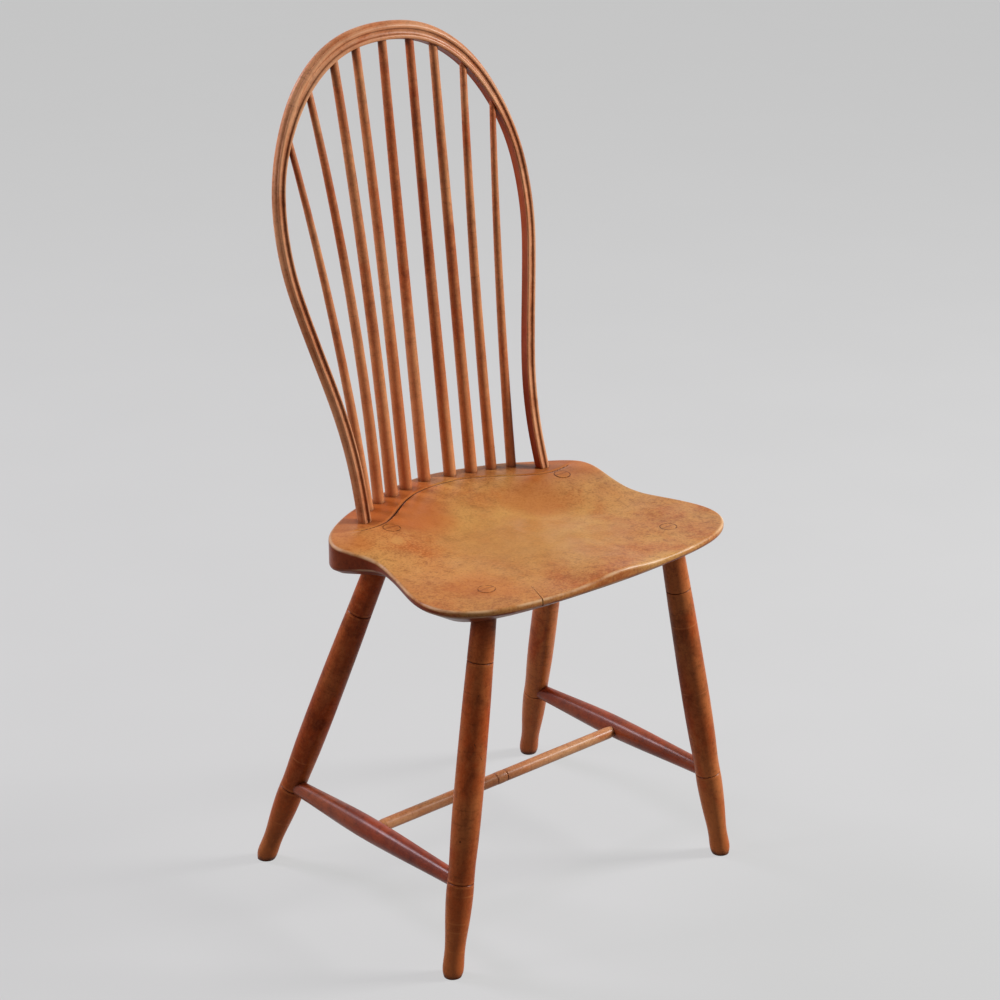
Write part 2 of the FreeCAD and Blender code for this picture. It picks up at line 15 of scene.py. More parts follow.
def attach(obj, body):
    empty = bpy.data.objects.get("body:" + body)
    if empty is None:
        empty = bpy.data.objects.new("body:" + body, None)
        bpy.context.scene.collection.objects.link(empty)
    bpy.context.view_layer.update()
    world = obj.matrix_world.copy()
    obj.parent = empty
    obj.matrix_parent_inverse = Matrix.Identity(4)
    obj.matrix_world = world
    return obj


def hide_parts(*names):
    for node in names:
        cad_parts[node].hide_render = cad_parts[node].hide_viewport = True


MM = 0.001
UP = Vector((0, 0, 1))

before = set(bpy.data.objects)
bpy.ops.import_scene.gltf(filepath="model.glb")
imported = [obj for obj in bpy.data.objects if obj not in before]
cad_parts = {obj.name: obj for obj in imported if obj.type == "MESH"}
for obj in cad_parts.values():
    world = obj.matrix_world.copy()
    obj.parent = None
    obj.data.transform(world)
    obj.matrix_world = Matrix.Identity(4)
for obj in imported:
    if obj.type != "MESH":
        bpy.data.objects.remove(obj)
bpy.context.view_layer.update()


# Sizes in millimetres

DECK_HEIGHT = 445.0
PLANK = 38.0
SEAT_BACK = 143.5
SEAT_FRONT = -205.5
RIGHT_SHOULDER = 200.5
LEFT_SHOULDER = 188.0
SEAT_WAIST = 184.4
SEAT_FLARE = 211.5
BEVEL_SLOPE = math.radians(30)
BEVEL_BACK_INSET = 7.0
BEVEL_FRONT_INSET = 31.0
# The bevel begins to widen this far from the back, and has its full width this much further on.
BEVEL_WIDENS_AFTER = 70.0
BEVEL_WIDENS_OVER = 105.0
SADDLE_FALL = 12.5
SADDLE_REACH = 120.0
SADDLE_HOLLOW = 5.0
HOLLOW_PLACE = (80.0, -20.0)
HOLLOW_SPREAD = (62.0, 85.0)
POMMEL_RISE = 6.0
POMMEL_SPREAD = (45.0, 90.0)
DECK_EDGE_MIDDLE = 109.0
DECK_EDGE_SIDE = 53.5
DECK_ARCH_HALF = 134.0
DECK_ARCH_POWER = 1.25
DECK_SWEEP = 90.0
SEAT_BOTTOM = DECK_HEIGHT - PLANK

# The line carved along the front of the deck, deepest near the right foot of the bow.
GUTTER_DEPTH = 3.0
GUTTER_WIDTH = 1.6
GUTTER_FADE = (142.0, 172.0)
GUTTER_LEFT_REACH = 8.0
GUTTER_LEAST = 0.52
GUTTER_DEEPEST = (-86.0, 38.0)

# The rim's rounding and the arris above the bevel, at most; each takes a share of the edge's height.
RIM_RADIUS = 4.2
RIM_SHARE = 0.46
RIM_MARGIN = 1.2
ARRIS_RADIUS = 2.6
ARRIS_SHARE = 0.26
ARRIS_POWER = 1.6

# The crack runs from its tip to its mouth at the front edge.
CRACK_TIP = (-94.0, -165.0)
CRACK_RUN = (-18.5, -44.0)
CRACK_HALF_GAP = 0.6
CRACK_HEIGHTS = (DECK_HEIGHT - 32.0, DECK_HEIGHT + 8.0)

# How far the dressed surfaces lie inside the solids that they stand for.
SEAT_SHY = 0.2
BOW_SHY = 0.12
FOOT_SHY = 0.15

SEAT_POINTS_ROUND = 480
SEAT_MIDDLE = (0.0, -25.0)
TOOL_REACH = 38.0
TOOL_HEIGHT = 0.3

BOW_FOOT = (134.6, 72.5)
BOW_MIDDLE = (139.5, 700.0)
BOW_CREST = (197.5, 960.0)
BOW_BELLY = (176.2, 759.0)
BOW_PINCH = 133.6
BOW_FOOT_SLOPE = 0.03
BOW_CREST_SECTION = (21.2, 14.5)
BOW_RIGHT_WIDTH = 13.5
BOW_LEFT_WIDTH = 15.2
BOW_SIDE_DEPTH = 13.2
BOW_TENON = (6.0, 5.4)

# Each leg: its foot on the floor, its top at the leg axis height and its lower scribed ring.
LEG_AXIS_HEIGHT = 440.0
LEGS = {
    "front_leg_right": ((-209.8, -167.5), (-133.7, -138.5), 109.5),
    "front_leg_left": ((209.8, -167.5), (133.7, -138.5), 113.5),
    "rear_leg_right": ((-211.0, 179.8), (-122.0, 40.8), 107.8),
    "rear_leg_left": ((211.0, 182.5), (136.0, 40.8), 111.4),
}
UPPER_RING = 360.0
TENON_RADIUS = 9.4
TENON_LINE_HALF_WIDTH = 0.65
# Above these heights in metres a leg is the end of its tenon, which takes the seat's tone.
TENON_END = (0.4205, 0.4215)


# Curves and meshes


def clamped_spline(points, start_slope, end_slope, count):
    """Points evenly spaced along a cubic through the given points, with unit slopes at its ends."""
    p = np.array(points, float)
    step = np.linalg.norm(np.diff(p, axis=0), axis=1)
    knots = np.concatenate([[0], np.cumsum(step)])
    size = len(p)
    matrix = np.eye(size)
    slopes = np.zeros_like(p)
    slopes[0], slopes[-1] = start_slope, end_slope
    for i in range(1, size - 1):
        before, after = step[i - 1], step[i]
        matrix[i, i - 1 : i + 2] = [after, 2 * (before + after), before]
        rise = after * (p[i] - p[i - 1]) / before + before * (p[i + 1] - p[i]) / after
        slopes[i] = 3 * rise
    slopes = np.linalg.solve(matrix, slopes)

    def at(where):
        i = np.clip(np.searchsorted(knots, where, side="right") - 1, 0, size - 2)
        span = step[i][:, None]
        t = (where - knots[i])[:, None] / span
        low = p[i] * (1 + 2 * t) * (1 - t) ** 2 + slopes[i] * span * t * (1 - t) ** 2
        high = p[i + 1] * t**2 * (3 - 2 * t) + slopes[i + 1] * span * t**2 * (t - 1)
        return low + high

    fine = at(np.linspace(0, knots[-1], 4000))
    walked = np.concatenate([[0], np.cumsum(np.linalg.norm(np.diff(fine, axis=0), axis=1))])
    even = np.linspace(0, walked[-1], count)
    return np.column_stack([np.interp(even, walked, fine[:, k]) for k in range(p.shape[1])])


def smoothstep(value, low, high):
    share = np.clip((value - low) / (high - low), 0, 1)
    return share * share * (3 - 2 * share)


def rings_to_mesh(name, rings, grain, marks):
    """A closed skin over rings of equal length, capped at both ends. Grain gives each point its
    place in the wood: two measures across the fibres and one along them. Marks holds named values
    from 0 to 1 for each point, such as how deep it lies in a carved line."""
    rings = np.array(rings, float)
    levels, around, _ = rings.shape
    points = rings.reshape(-1, 3) * MM
    faces = []
    for level in range(levels - 1):
        low, high = level * around, (level + 1) * around
        for i in range(around):
            j = (i + 1) % around
            faces.append((low + i, low + j, high + j, high + i))
    faces.append(tuple(reversed(range(around))))
    faces.append(tuple(range((levels - 1) * around, levels * around)))
    mesh = bpy.data.meshes.new(name)
    mesh.from_pydata(points.tolist(), [], faces)
    layer = mesh.attributes.new("grain", "FLOAT_VECTOR", "POINT")
    layer.data.foreach_set("vector", (np.array(grain, float).reshape(-1) * MM).astype(np.float32))
    for label, values in marks.items():
        layer = mesh.attributes.new(label, "FLOAT", "POINT")
        layer.data.foreach_set("value", np.array(values, np.float32).reshape(-1))
    mesh.update()
    shell = bpy.data.objects.new(name, mesh)
    bpy.context.scene.collection.objects.link(shell)
    return shell


def shade(piece, angle=math.radians(38)):
    for polygon in piece.data.polygons:
        polygon.use_smooth = True
    piece.data.set_sharp_from_angle(angle=angle)


def face_outwards(piece):
    shell = bmesh.new()
    shell.from_mesh(piece.data)
    bmesh.ops.recalc_face_normals(shell, faces=shell.faces)
    shell.to_mesh(piece.data)
    shell.free()


# Seat


def outline_half(side):
    """Half of the plank seen from above, from the back middle to the front middle."""
    back = SEAT_BACK
    if side < 0:
        shoulder = RIGHT_SHOULDER
        corner = [
            (100, back - 24),
            (126, back - 34),
            (151, back - 47),
            (shoulder - 25, back - 64),
            (shoulder - 7, back - 83),
            (shoulder, back - 101),
            (shoulder - 5, back - 121),
        ]
    else:
        shoulder = LEFT_SHOULDER
        corner = [
            (106, back - 29),
            (148, back - 55),
            (shoulder - 17, back - 70.5),
            (shoulder - 4, back - 87),
            (shoulder, back - 104),
            (shoulder - 1.5, back - 124),
        ]
    front_corner = [
        (SEAT_WAIST, back - 150),
        (SEAT_WAIST + 3, back - 181),
        (SEAT_WAIST + 13.5, back - 214),
        (SEAT_FLARE - 2, back - 250),
        (SEAT_FLARE, back - 277),
        (SEAT_FLARE - 9, SEAT_FRONT + 47),
        (177, SEAT_FRONT + 24.5),
        (135, SEAT_FRONT + 10.5),
        (70, SEAT_FRONT + 2.5),
        (0, SEAT_FRONT),
    ]
    return [(0, back), (56, back - 10), *corner, *front_corner]


def seat_loop(count):
    """The whole outline as a loop that runs forwards on the left and back on the right."""
    left = clamped_spline(outline_half(1), (1, 0), (-1, 0), count // 2 + 1)
    right = clamped_spline(outline_half(-1), (1, 0), (-1, 0), count // 2 + 1)
    right = right[::-1] * (-1, 1)
    return np.vstack([left[:-1], right[:-1]])


def inward_normals(loop):
    along = np.roll(loop, -1, axis=0) - np.roll(loop, 1, axis=0)
    along /= np.linalg.norm(along, axis=1, keepdims=True)
    return np.column_stack([along[:, 1], -along[:, 0]])


def deck_edge(x):
    """Where the flat deck ends and the saddle begins."""
    across = np.abs(x) / DECK_ARCH_HALF
    arch = DECK_EDGE_SIDE + (DECK_EDGE_MIDDLE - DECK_EDGE_SIDE) * (
        0.5 + 0.5 * np.cos(math.pi * np.minimum(across, 1) ** DECK_ARCH_POWER)
    )
    return np.where(across < 1, arch, DECK_EDGE_SIDE + DECK_SWEEP * (across - 1) ** 2)


def saddle_height(x, y):
    """Height of the top: it falls in front of the deck, with a hollow for each thigh and a pommel
    between them."""
    ease = smoothstep((deck_edge(x) - y) / SADDLE_REACH, 0, 1)
    (hollow_x, hollow_y), (hollow_wide, hollow_long) = HOLLOW_PLACE, HOLLOW_SPREAD
    hollow = np.exp(-(((np.abs(x) - hollow_x) / hollow_wide) ** 2) - ((y - hollow_y) / hollow_long) ** 2)
    pommel_wide, pommel_long = POMMEL_SPREAD
    pommel = np.exp(-((x / pommel_wide) ** 2) - ((y - SEAT_FRONT) / pommel_long) ** 2)
    return DECK_HEIGHT - (SADDLE_FALL + SADDLE_HOLLOW * hollow - POMMEL_RISE * pommel) * ease


def gutter_share(x, y, width):
    """How far a point lies in the line that is carved along the front of the deck, from 0 to 1."""
    slope = (deck_edge(x + 1) - deck_edge(x - 1)) / 2
    away = (y - deck_edge(x)) / np.sqrt(1 + slope**2)
    fade = 1 - smoothstep(np.where(x < 0, -x, x - GUTTER_LEFT_REACH), *GUTTER_FADE)
    return fade * np.exp(-((away / width) ** 2))


def gutter_strength(x):
    """The gouge went deepest between the right foot of the bow and the third spindle."""
    where, spread = GUTTER_DEEPEST
    return GUTTER_LEAST + (1 - GUTTER_LEAST) * np.exp(-(((x - where) / spread) ** 2))


def hand_work(x, y):
    """Slow unevenness that hand tools leave."""
    layer = 3.7
    values = [noise.noise(Vector((a / TOOL_REACH, b / TOOL_REACH, layer))) for a, b in zip(x, y)]
    return np.array(values) * TOOL_HEIGHT


def top_shares():
    """Shares of the way from the middle of the seat to where the rim begins to fall, close together
    where the carved line runs."""
    inner = np.linspace(0.03, 0.62, 30)
    carved = np.linspace(0.63, 0.93, 66)
    return np.concatenate([inner, carved, [0.95, 0.97, 0.985, 1.0]])


def seat_surface(flat):
    """The sitting surface a hair below the tops of the leg tenons."""
    x, y = flat[:, 0], flat[:, 1]
    gutter = GUTTER_DEPTH * gutter_strength(x) * gutter_share(x, y, GUTTER_WIDTH)
    return saddle_height(x, y) - gutter - SEAT_SHY + hand_work(x, y)


def make_seat():
    """The plank: dished top, rounded rim, upright edge, rounded arris, bevel and flat underside."""
    loop = seat_loop(SEAT_POINTS_ROUND)
    inward = inward_normals(loop)
    middle = np.array(SEAT_MIDDLE)
    rings, wear_and_highlight = [], []

    # Each ring may also carry how much paler it is made: painted highlight along the rim's rounding,
    # with a weaker share on the arris below the wall.
    def add(flat, height, paler_share=0.0):
        rings.append(np.column_stack([flat, height]))
        wear_and_highlight.append(np.full(len(flat), paler_share))

    rim = seat_surface(loop)
    towards_front = smoothstep(SEAT_BACK - BEVEL_WIDENS_AFTER - loop[:, 1], 0, BEVEL_WIDENS_OVER)
    inset = BEVEL_BACK_INSET + (BEVEL_FRONT_INSET - BEVEL_BACK_INSET) * towards_front
    wall_foot = SEAT_BOTTOM + inset * math.tan(BEVEL_SLOPE)
    room = rim - wall_foot
    top_round = np.minimum(room * RIM_SHARE, RIM_RADIUS)
    arris = np.minimum(room * ARRIS_SHARE, ARRIS_RADIUS)

    rim_start = loop + inward * (top_round + RIM_MARGIN)[:, None]
    for share in top_shares():
        flat = middle + (rim_start - middle) * share
        add(flat, seat_surface(flat))
    for turn in np.linspace(0.06, 1, 9) * math.pi / 2:
        flat = loop + inward * (top_round * (1 - math.sin(turn)))[:, None]
        add(flat, rim - top_round * (1 - math.cos(turn)), math.sin(turn * 2) ** 2)
    for share in (0.35, 0.7, 1.0):
        add(loop, (rim - top_round) * (1 - share) + (wall_foot + arris) * share)
    across, down = math.cos(BEVEL_SLOPE), math.sin(BEVEL_SLOPE)
    for turn in np.linspace(0.2, 1, 5):
        rolled = turn**ARRIS_POWER
        falls = arris * (1 - (1 - turn) ** ARRIS_POWER) + arris * down * rolled
        flat = loop + inward * (arris * across * rolled)[:, None]
        add(flat, wall_foot + arris - falls, math.sin(turn * math.pi) * 0.6)
    bevel_head = loop + inward * (arris * across)[:, None]
    bevel_foot = loop + inward * inset[:, None]
    bevel_top = wall_foot - arris * down
    for share in (0.33, 0.66, 0.94, 1.0):
        flat = bevel_head + (bevel_foot - bevel_head) * share
        add(flat, bevel_top + (SEAT_BOTTOM - bevel_top) * share)
    for share in (0.985, 0.9, 0.7, 0.45, 0.2, 0.04):
        add(middle + (bevel_foot - middle) * share, np.full(len(loop), SEAT_BOTTOM))

    rings = np.array(rings)[::-1]
    x, y, z = rings[..., 0], rings[..., 1], rings[..., 2]
    grain = np.stack([z - SEAT_BOTTOM, x, y], axis=-1)
    on_top = smoothstep(z, SEAT_BOTTOM + 18, SEAT_BOTTOM + 22)
    groove = gutter_share(x, y, GUTTER_WIDTH * 0.7) * (0.6 + 0.4 * gutter_strength(x)) * on_top
    # Behind the carved line, where the deck takes a painted shadow of the spindles.
    deck = smoothstep(y - deck_edge(x), 0, 5) * on_top
    marks = {"groove": groove, "wear_and_highlight": wear_and_highlight[::-1], "deck": deck}
    seat = rings_to_mesh("seat_plank", rings, grain, marks)
    face_outwards(seat)
    open_crack(seat)
    shade(seat)
    return seat


def open_crack(seat):
    """The short crack that has opened along the grain at the front edge."""
    tip = Vector(CRACK_TIP)
    mouth = tip + Vector(CRACK_RUN)
    side = Vector((CRACK_HALF_GAP, 0))
    corners = [tip, mouth + side, mouth - side]
    points = [(c.x * MM, c.y * MM, z * MM) for z in CRACK_HEIGHTS for c in corners]
    faces = [(0, 2, 1), (3, 4, 5), (0, 1, 4, 3), (1, 2, 5, 4), (2, 0, 3, 5)]
    mesh = bpy.data.meshes.new("crack_cutter")
    mesh.from_pydata(points, [], faces)
    cutter = bpy.data.objects.new("crack_cutter", mesh)
    bpy.context.scene.collection.objects.link(cutter)
    face_outwards(cutter)
    cut = seat.modifiers.new("crack", "BOOLEAN")
    cut.object = cutter
    cut.operation = "DIFFERENCE"
    cut.solver = "EXACT"
    bpy.context.view_layer.update()
    evaluated = seat.evaluated_get(bpy.context.evaluated_depsgraph_get())
    carved = bpy.data.meshes.new_from_object(evaluated)
    seat.modifiers.clear()
    seat.data = carved
    bpy.data.objects.remove(cutter)


# Bow


def bow_y(height):
    """The bow leans back; the lean eases a little towards the crest."""
    low_y, low = BOW_FOOT[1], DECK_HEIGHT
    middle_y, middle = BOW_MIDDLE
    high_y, high = BOW_CREST
    at_low = low_y * (height - middle) * (height - high) / ((low - middle) * (low - high))
    at_middle = middle_y * (height - low) * (height - high) / ((middle - low) * (middle - high))
    at_high = high_y * (height - low) * (height - middle) / ((high - low) * (high - middle))
    return at_low + at_middle + at_high


def bow_line(count):
    """Centreline from the right foot over the crest to the left foot, as (x, z). It bellies out
    above the pinch near the deck."""
    belly, belly_height = BOW_BELLY
    crest = BOW_CREST[1]
    deck = DECK_HEIGHT
    half = [
        (BOW_FOOT[0], deck),
        (BOW_PINCH, deck + 40),
        (BOW_PINCH + 5.2, deck + 106),
        (BOW_PINCH + 19.2, deck + 173),
        (BOW_PINCH + 34.4, deck + 239),
        (belly - 2.2, belly_height - 41),
        (belly, belly_height),
        (belly - 7.2, belly_height + 60),
        (belly - 30, belly_height + 115.6),
        (belly - 57.8, crest - 47.3),
        (60.4, crest - 9.1),
        (0, crest),
    ]
    right = [(-x, z) for x, z in half]
    left = list(reversed(half[:-1]))
    return clamped_spline(right + left, (BOW_FOOT_SLOPE, 1), (BOW_FOOT_SLOPE, -1), count)


def arc_points(begin, middle, end, count):
    """Points on the circle through three points."""
    a, b, c = (complex(*p) for p in (begin, middle, end))
    w = (c - a) / (b - a)
    centre = (b - a) * (w - abs(w) ** 2) / (2j * w.imag) + a
    start, through, stop = (np.angle(p - centre) for p in (a, b, c))
    turn = (stop - start) % (2 * math.pi)
    if (through - start) % (2 * math.pi) > turn:
        turn -= 2 * math.pi
    angles = start + np.linspace(0, turn, count)
    return [(centre + abs(a - centre) * np.exp(1j * t)) for t in angles]


def bow_section_shape():
    """Half-size units, outwards and forwards: beads along both front edges, a hollow field
    between them and a round back. With each point, how far it lies in a scratched line, how much
    it is made paler, by rubbed wear together with painted highlight, and how far it faces the
    spindles, where painted shade goes."""
    arcs = (
        ((-0.96, 0.64), (-0.85, 0.98), (-0.54, 0.90), 8, 0.9),
        ((-0.48, 0.78), (-0.22, 0.68), (0.04, 0.79), 8, 0.15),
        ((0.10, 0.90), (0.40, 0.99), (0.64, 0.70), 8, 1.0),
        ((0.70, 0.66), (0.93, 0.36), (1.00, -0.05), 8, 0.5),
        ((1.00, -0.05), (0.80, -0.64), (0.26, -0.97), 10, 0.0),
        ((-0.68, -0.98), (-0.92, -0.91), (-0.99, -0.66), 8, 0.0),
    )
    shape, groove, paler_share, inner = [], [], [], []
    inner_face = len(arcs) - 1
    for number, (begin, middle, end, count, wear_and_highlight_share) in enumerate(arcs):
        shape += [(p.real, p.imag) for p in arc_points(begin, middle, end, count)]
        line = np.zeros(count)
        if number in (0, 1):
            line[-1] = 1
        if number in (1, 2):
            line[0] = 1
        groove += list(line)
        inner += [1.0 if number == inner_face else 0.0] * count
        paler_share += list(wear_and_highlight_share * np.sin(np.linspace(0.1, math.pi - 0.1, count)))
    # The inner face ends at the first point of the first bead.
    inner[0] = 1.0
    return np.array(shape), {"groove": groove, "wear_and_highlight": paler_share, "inner": inner}


def make_bow():
    line = bow_line(300)
    shape, section_marks = bow_section_shape()
    angles = np.arctan2(shape[:, 1], shape[:, 0])
    round_shape = np.column_stack([np.cos(angles), np.sin(angles)])
    side_top = BOW_BELLY[1] + 60
    steps = np.concatenate([[0], np.cumsum(np.linalg.norm(np.diff(line, axis=0), axis=1))])
    rings, grain = [], []

    def front_at(z):
        front = np.array([0, -1, (bow_y(z + 1) - bow_y(z - 1)) / 2])
        return front / np.linalg.norm(front)

    def add_ring(centre, along, front, width, depth, section, walked):
        out = np.cross(front, along)
        out /= np.linalg.norm(out)
        across = section[:, :1] * width / 2
        deep = section[:, 1:] * depth / 2
        rings.append(centre + across * out + deep * front)
        grain.append(np.column_stack([across, deep, np.full(len(section), walked)]))

    def foot_rings(index):
        """The round tenon below the deck, listed from the deck down."""
        x, z = line[index]
        inner = line[index + (1 if index == 0 else -1)]
        a = np.array([x, bow_y(z), z])
        b = np.array([inner[0], bow_y(inner[1]), inner[1]])
        lean = (a - b) / np.linalg.norm(a - b)
        reach = (PLANK - FOOT_SHY) / abs(lean[2])
        along = -lean if index == 0 else lean
        found = []
        for share in (0.12, 0.5, 1.0):
            width = 2 * (BOW_TENON[0] + (BOW_TENON[1] - BOW_TENON[0]) * share)
            walked = -reach * share if index == 0 else steps[-1] + reach * share
            centre = a + lean * reach * share
            found.append((centre, along, front_at(z), width, width, round_shape, walked))
        return found

    for ring in reversed(foot_rings(0)):
        add_ring(*ring)
    for i, (x, z) in enumerate(line):
        ahead = line[min(i + 1, len(line) - 1)]
        behind = line[max(i - 1, 0)]
        rise_y = bow_y(ahead[1]) - bow_y(behind[1])
        along = np.array([ahead[0] - behind[0], rise_y, ahead[1] - behind[1]])
        along /= np.linalg.norm(along)
        ease = smoothstep(z, side_top, BOW_CREST[1])
        side_width = BOW_RIGHT_WIDTH if x < 0 else BOW_LEFT_WIDTH
        width = side_width + (BOW_CREST_SECTION[0] - side_width) * ease - BOW_SHY
        depth = BOW_SIDE_DEPTH + (BOW_CREST_SECTION[1] - BOW_SIDE_DEPTH) * ease - BOW_SHY
        add_ring(np.array([x, bow_y(z), z]), along, front_at(z), width, depth, shape, steps[i])
    for ring in foot_rings(-1):
        add_ring(*ring)
    marks = {label: np.tile(values, (len(rings), 1)) for label, values in section_marks.items()}
    bow = rings_to_mesh("bent_bow", rings, grain, marks)
    face_outwards(bow)
    shade(bow, math.radians(32))
    return bow


# Materials


class Tree:
    """A material's nodes, each added with one call."""

    def __init__(self, name):
        self.material = bpy.data.materials.new(name)
        self.material.use_nodes = True
        self.nodes = self.material.node_tree.nodes
        self.links = self.material.node_tree.links
        self.nodes.clear()

    def add(self, kind, inputs=None, **settings):
        node = self.nodes.new("ShaderNode" + kind)
        for key, value in settings.items():
            setattr(node, key, value)
        for key, value in (inputs or {}).items():
            socket = node.inputs[key]
            if isinstance(value, bpy.types.NodeSocket):
                self.links.new(value, socket)
            else:
                socket.default_value = value
        return node

    def place(self):
        """Where a point of the surface lies in the object, in metres."""
        return self.add("TexCoord").outputs["Object"]

    def axis(self, vector, name):
        return self.add("SeparateXYZ", {0: vector}).outputs[name]

    def scaled(self, vector, amounts):
        return self.add("VectorMath", {0: vector, 1: amounts}, operation="MULTIPLY").outputs[0]

    def shifted(self, vector, amounts):
        return self.add("VectorMath", {0: vector, 1: amounts}, operation="ADD").outputs[0]

    def noise(self, vector, scale, detail=2.0, roughness=0.5, distortion=0.0):
        inputs = {
            "Vector": vector,
            "Scale": scale,
            "Detail": detail,
            "Roughness": roughness,
            "Distortion": distortion,
        }
        return self.add("TexNoise", inputs).outputs[0]

    def band(self, value, low, high, to_low=0.0, to_high=1.0):
        """A soft step of value between low and high."""
        inputs = {"Value": value, "From Min": low, "From Max": high, "To Min": to_low, "To Max": to_high}
        return self.add("MapRange", inputs, interpolation_type="SMOOTHSTEP").outputs[0]

    def math(self, operation, a, b=0.0):
        return self.add("Math", {0: a, 1: b}, operation=operation).outputs[0]

    def times(self, a, b):
        return self.math("MULTIPLY", a, b)

    def distance(self, a, b):
        return self.add("VectorMath", {0: a, 1: b}, operation="DISTANCE").outputs["Value"]

    def mix(self, factor, a, b):
        return self.add("Mix", {0: factor, 6: a, 7: b}, data_type="RGBA").outputs[2]


def colour(red, green, blue):
    """A colour given as it looks on a screen, 0 to 255."""

    def linear(value):
        value /= 255
        return value / 12.92 if value <= 0.04045 else ((value + 0.055) / 1.055) ** 2.4

    return (linear(red), linear(green), linear(blue), 1.0)


# Where a point lies in the wood


def attribute_grain(tree):
    return tree.add("Attribute", attribute_name="grain").outputs["Vector"]


def attribute_value(tree, label):
    return tree.add("Attribute", attribute_name=label).outputs["Fac"]


def along_axis(tree, origin, direction):
    """Place in the wood of a straight piece: Z runs along its fibres from the given origin."""
    place = tree.place()
    mapping = tree.add("Mapping", {"Vector": place}, vector_type="TEXTURE")
    mapping.inputs["Location"].default_value = origin
    mapping.inputs["Rotation"].default_value = UP.rotation_difference(Vector(direction)).to_euler()
    return mapping.outputs["Vector"]


def node_grain(node_object):
    """The same for a CAD piece, whose fibres run along its length."""
    points = np.array([v.co for v in node_object.data.vertices])
    middle = points.mean(axis=0)
    _, _, axes = np.linalg.svd(points - middle, full_matrices=False)
    along = axes[0] if axes[0][2] > 0 else -axes[0]
    return lambda tree: along_axis(tree, middle, along)


def leg_grain(name):
    foot, top, _ = LEGS[name]
    origin = Vector((*foot, 0)) * MM
    direction = Vector((*top, LEG_AXIS_HEIGHT)) * MM - origin
    return lambda tree: along_axis(tree, origin, direction)


# Tones

Palette = namedtuple("Palette", "deep middle light warm")


def four_tones(*tones):
    return Palette(*(colour(*tone) for tone in tones))


def aged_tone(tree, grain, place, palette, look):
    """Old wood under shellac, from the broadest change of tone to the finest: broad light areas,
    warmer patches, smoky and mottled ones, fibres, the lathe's lines, grit and dark flecks."""
    deep, middle, light, warm = palette
    broad = tree.noise(tree.scaled(grain, (1, 1, look["stretch"])), look["patch_scale"], 3.0, 0.55)
    tone = tree.mix(tree.band(broad, 0.36, 0.64), middle, light)
    patch = tree.noise(tree.scaled(grain, (1, 1, 0.5)), look["patch_scale"] * 1.6, 4.0, 0.6, 0.5)
    tone = tree.mix(tree.times(tree.band(patch, 0.48, 0.66), look["warmth"]), tone, warm)
    smoke = tree.noise(place, look["smoke_scale"], 7.0, 0.66, 0.4)
    tone = tree.mix(tree.times(tree.band(smoke, 0.47, 0.70), look["smoke"]), tone, deep)
    mottle = tree.noise(place, look["mottle_scale"], 8.0, 0.72, 0.2)
    tone = tree.mix(tree.times(tree.band(mottle, 0.50, 0.68), look["mottle"]), tone, deep)
    tone = tree.mix(tree.times(tree.band(mottle, 0.50, 0.34), look["mottle"] * 0.8), tone, light)
    fibre = tree.noise(tree.scaled(grain, (1, 1, 0.035)), 240.0, 3.0, 0.6, 0.3)
    tone = tree.mix(tree.times(tree.band(fibre, 0.46, 0.70), look["fibre"]), tone, deep)
    lathe = tree.noise(tree.scaled(grain, (0.10, 0.10, 1)), 330.0, 2.0, 0.5)
    tone = tree.mix(tree.times(tree.band(lathe, 0.63, 0.72), look["lathe"]), tone, deep)
    grit = tree.noise(place, 360.0, 3.0, 0.6)
    tone = tree.mix(tree.times(tree.band(grit, 0.50, 0.66), look["grit"]), tone, deep)
    tone = tree.mix(tree.times(tree.band(grit, 0.50, 0.34), look["grit"]), tone, light)
    flecks = tree.noise(place, 620.0, 2.0, 0.6)
    tone = tree.mix(tree.times(tree.band(flecks, 0.66, 0.74), 0.45), tone, deep)
    relief = tree.math("ADD", tree.times(mottle, 0.8), tree.times(lathe, 0.5))
    return tone, relief


# How far ambient occlusion looks for corners, and how bright the painted shade in them is against the
# deepest tone.
CORNER_REACH = 0.012
CORNER_SHADE_SHARE = 0.25


def corner_shaded(tree, tone, palette, most=0.85):
    """Painted shade in the corners, found by ambient occlusion: there the tone goes down to a quarter as
    bright as the deepest tone.
    """
    corner = tree.add("AmbientOcclusion", {"Distance": CORNER_REACH}, samples=8).outputs["AO"]
    corner_shade = tuple(v * CORNER_SHADE_SHARE for v in palette.deep[:3]) + (1.0,)
    return tree.mix(tree.band(corner, 0.30, 0.90, most, 0.0), tone, corner_shade)


def finish(tree, tone, relief, grain, place, look):
    """Satin shellac over the wood, with the unevenness of hand work. What is the same all over is
    set on the shader itself."""
    smears = tree.noise(place, 26.0, 5.0, 0.6, 0.5)
    rough = tree.band(smears, 0.3, 0.75, look["gloss"], look["gloss"] + 0.18)
    fine = tree.add("Bump", {"Strength": look["bump"], "Distance": 0.0004, "Height": relief})
    worked = tree.noise(tree.scaled(grain, (1, 1, 0.35)), look["work_scale"], 1.0, 0.4)
    uneven = {
        "Strength": 1.0,
        "Distance": look["work_depth"],
        "Height": worked,
        "Normal": fine.outputs["Normal"],
    }
    inputs = {
        "Base Color": tone,
        "Roughness": rough,
        "Normal": tree.add("Bump", uneven).outputs["Normal"],
        "IOR": 1.47,
        "Specular IOR Level": look["specular"],
        "Coat Weight": look["coat"],
        "Coat Roughness": 0.22,
    }
    shader = tree.add("BsdfPrincipled", inputs)
    output = tree.add("OutputMaterial")
    tree.links.new(shader.outputs["BSDF"], output.inputs["Surface"])
    return tree.material


